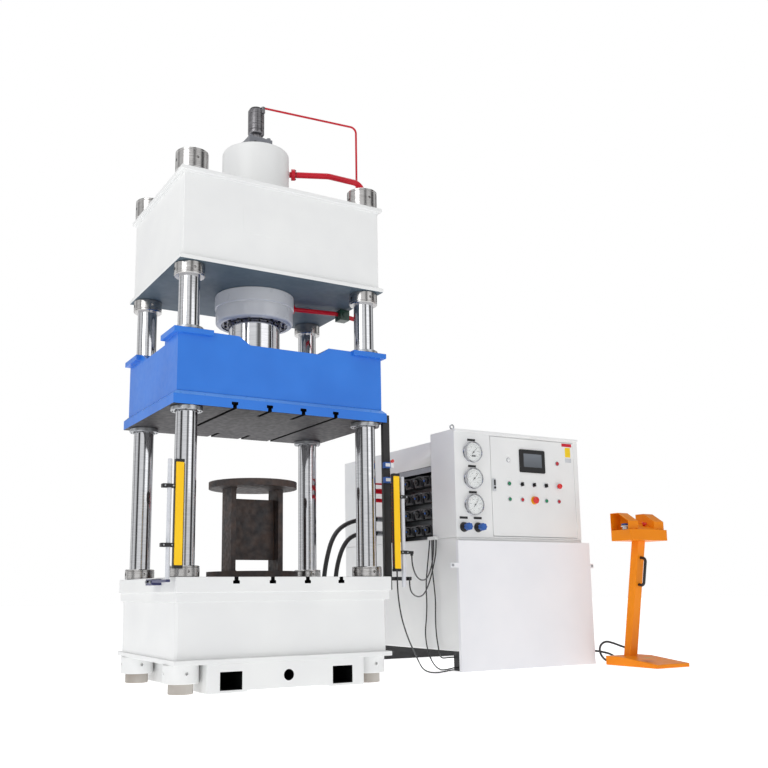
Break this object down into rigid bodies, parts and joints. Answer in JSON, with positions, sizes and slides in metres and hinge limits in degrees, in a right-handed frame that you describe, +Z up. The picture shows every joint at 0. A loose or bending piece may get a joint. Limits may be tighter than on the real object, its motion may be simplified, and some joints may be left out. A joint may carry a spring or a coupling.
{
  "type": "hydraulic press",
  "caption": "Four-column hydraulic press with a moving slide, a power unit with control cabinet, light curtains and a two-hand console on a pedestal.",
  "frame": {"origin": "on the floor under the axis of the main ram, at the underside of the plinth's centre pad", "axes": "+X towards the power unit, -Y towards the operator, +Z up along the ram"},
  "size_m": [3.692, 2.14, 3.773],
  "materials": {
    "white_enamel": "gloss enamel",
    "blue_enamel": "gloss enamel",
    "orange_enamel": "gloss enamel",
    "red_enamel": "gloss enamel",
    "yellow_enamel": "gloss enamel",
    "grey_enamel": "satin enamel",
    "black_paint": "satin",
    "navy_enamel": "satin",
    "hard_chrome": "ground hard chrome",
    "turned_steel": "turned",
    "machined_steel": "ground",
    "mill_steel": "mill scale",
    "black_plastic": "moulded",
    "grey_plastic": "moulded",
    "green_plastic": "moulded",
    "red_plastic": "moulded",
    "blue_plastic": "moulded",
    "hose_rubber": "smooth cover",
    "cable_jacket": "smooth jacket"
  },
  "bodies": {
    "machine": {"bed": "white_enamel", "bed_port_block": "machined_steel", "cabinet": "white_enamel", "column_collars": "turned_steel", "column_nuts": "turned_steel", "columns": "hard_chrome", "console_cable": "cable_jacket", "console_handle": "black_plastic", "console_head": "orange_enamel", "console_stand": "orange_enamel", "crown": "white_enamel", "curtain_cable_lower": "cable_jacket", "curtain_cable_upper": "cable_jacket", "curtain_posts": "black_paint", "front_cover": "white_enamel", "gauges": "hard_chrome", "gland_ring": "navy_enamel", "hose_left": "hose_rubber", "hose_right": "hose_rubber", "light_curtains": "yellow_enamel", "lower_pipe": "red_enamel", "main_cylinder": "white_enamel", "pilot_tube": "red_enamel", "plinth": "white_enamel", "prefill_block": "grey_enamel", "prefill_valve": "machined_steel", "sensor_cable": "cable_jacket", "solenoid_valves": "black_plastic", "switch_rail": "black_paint", "tank": "white_enamel", "tank_base": "black_paint", "test_stand": "mill_steel", "upper_pipe": "red_enamel", "valve_cable_front": "cable_jacket", "valve_cable_rear": "cable_jacket", "valve_hood": "white_enamel", "valve_manifold": "machined_steel"},
    "slide": {"slide_body": "blue_enamel", "slide_platen": "blue_enamel", "slide_bushes": "turned_steel", "main_ram": "hard_chrome"},
    "door": {"cabinet_door": "white_enamel", "screen": "grey_plastic", "panel_bezels": "grey_plastic"},
    "lock": {"door_lock": "black_plastic"},
    "button_green_left": {"button_green_left": "green_plastic"},
    "button_red_left": {"button_red_left": "red_plastic"},
    "button_green_right": {"button_green_right": "green_plastic"},
    "button_red_right": {"button_red_right": "red_plastic"},
    "button_mushroom": {"button_mushroom": "red_plastic"},
    "emergency_stop": {"emergency_stop": "red_plastic"},
    "selector_left": {"selector_left": "black_plastic"},
    "selector_middle": {"selector_middle": "black_plastic"},
    "selector_right": {"selector_right": "black_plastic"},
    "pressure_knob_left": {"pressure_knob_left": "blue_plastic"},
    "pressure_knob_right": {"pressure_knob_right": "blue_plastic"},
    "palm_button_left": {"palm_button_left": "blue_plastic"},
    "palm_button_right": {"palm_button_right": "blue_plastic"},
    "console_stop": {"console_stop": "red_plastic"},
    "console_selector": {"console_selector": "black_plastic"}
  },
  "joints": [
    {"name": "slide_travel", "type": "slide", "parent": "machine", "child": "slide", "axis": [0, 0, 1], "range_m": [-0.36, 0.2]},
    {"name": "door_hinge", "type": "hinge", "parent": "machine", "child": "door", "pos_m": [2.508, -0.217, 1.2575], "axis": [0, 0, 1], "range_deg": [0, 90]},
    {"name": "door_lock_turn", "type": "hinge", "parent": "door", "child": "lock", "pos_m": [1.745, -0.223, 1.262], "axis": [0, 1, 0], "range_deg": [0, 90]},
    {"name": "button_green_left_press", "type": "slide", "parent": "door", "child": "button_green_left", "axis": [0, 1, 0], "range_m": [0, 0.005], "stiffness_N_per_m": 400},
    {"name": "button_red_left_press", "type": "slide", "parent": "door", "child": "button_red_left", "axis": [0, 1, 0], "range_m": [0, 0.005], "stiffness_N_per_m": 400},
    {"name": "button_green_right_press", "type": "slide", "parent": "door", "child": "button_green_right", "axis": [0, 1, 0], "range_m": [0, 0.005], "stiffness_N_per_m": 400},
    {"name": "button_red_right_press", "type": "slide", "parent": "door", "child": "button_red_right", "axis": [0, 1, 0], "range_m": [0, 0.005], "stiffness_N_per_m": 400},
    {"name": "button_mushroom_press", "type": "slide", "parent": "door", "child": "button_mushroom", "axis": [0, 1, 0], "range_m": [0, 0.006], "stiffness_N_per_m": 400},
    {"name": "emergency_stop_press", "type": "slide", "parent": "door", "child": "emergency_stop", "axis": [0, 1, 0], "range_m": [0, 0.006], "stiffness_N_per_m": 400},
    {"name": "selector_left_turn", "type": "hinge", "parent": "door", "child": "selector_left", "pos_m": [1.998, -0.227, 1.278], "axis": [0, 1, 0], "range_deg": [-45, 45]},
    {"name": "selector_middle_turn", "type": "hinge", "parent": "door", "child": "selector_middle", "pos_m": [2.11, -0.227, 1.278], "axis": [0, 1, 0], "range_deg": [-45, 45]},
    {"name": "selector_right_turn", "type": "hinge", "parent": "door", "child": "selector_right", "pos_m": [2.223, -0.227, 1.278], "axis": [0, 1, 0], "range_deg": [-45, 45]},
    {"name": "pressure_knob_left_turn", "type": "hinge", "parent": "machine", "child": "pressure_knob_left", "pos_m": [1.474, -0.247, 0.96], "axis": [0, 1, 0], "range_deg": [-150, 150]},
    {"name": "pressure_knob_right_turn", "type": "hinge", "parent": "machine", "child": "pressure_knob_right", "pos_m": [1.594, -0.247, 0.96], "axis": [0, 1, 0], "range_deg": [-150, 150]},
    {"name": "palm_button_left_press", "type": "slide", "parent": "machine", "child": "palm_button_left", "axis": [0, 0, -1], "range_m": [0, 0.008], "stiffness_N_per_m": 900},
    {"name": "palm_button_right_press", "type": "slide", "parent": "machine", "child": "palm_button_right", "axis": [0, 0, -1], "range_m": [0, 0.008], "stiffness_N_per_m": 900},
    {"name": "console_stop_press", "type": "slide", "parent": "machine", "child": "console_stop", "axis": [0, 0.3492, -0.937], "range_m": [0, 0.006], "stiffness_N_per_m": 400},
    {"name": "console_selector_turn", "type": "hinge", "parent": "machine", "child": "console_selector", "pos_m": [2.712, -0.6005, 0.974], "axis": [0, -0.3492, 0.937], "range_deg": [-45, 45]}
  ]
}
